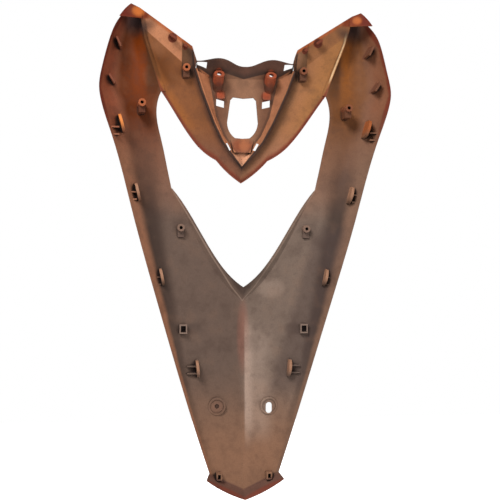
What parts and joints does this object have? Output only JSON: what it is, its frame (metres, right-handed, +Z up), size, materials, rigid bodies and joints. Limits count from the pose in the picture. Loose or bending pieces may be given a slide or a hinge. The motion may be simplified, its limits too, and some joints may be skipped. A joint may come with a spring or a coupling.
{
  "type": "scooter front fairing",
  "caption": "One-piece brown plastic scooter front fairing with horn-like tips, a beak over the headlight opening and a tapering lower shield.",
  "frame": {"origin": "midway between the seats of the two upper screw cups", "axes": "+X to the rider's right, +Y forward, away from the inside of the shell, +Z up"},
  "size_m": [0.4066, 0.0705, 0.68],
  "materials": {
    "shell": "satin"
  },
  "bodies": {
    "root": {"front_fairing": "shell"}
  },
  "joints": []
}
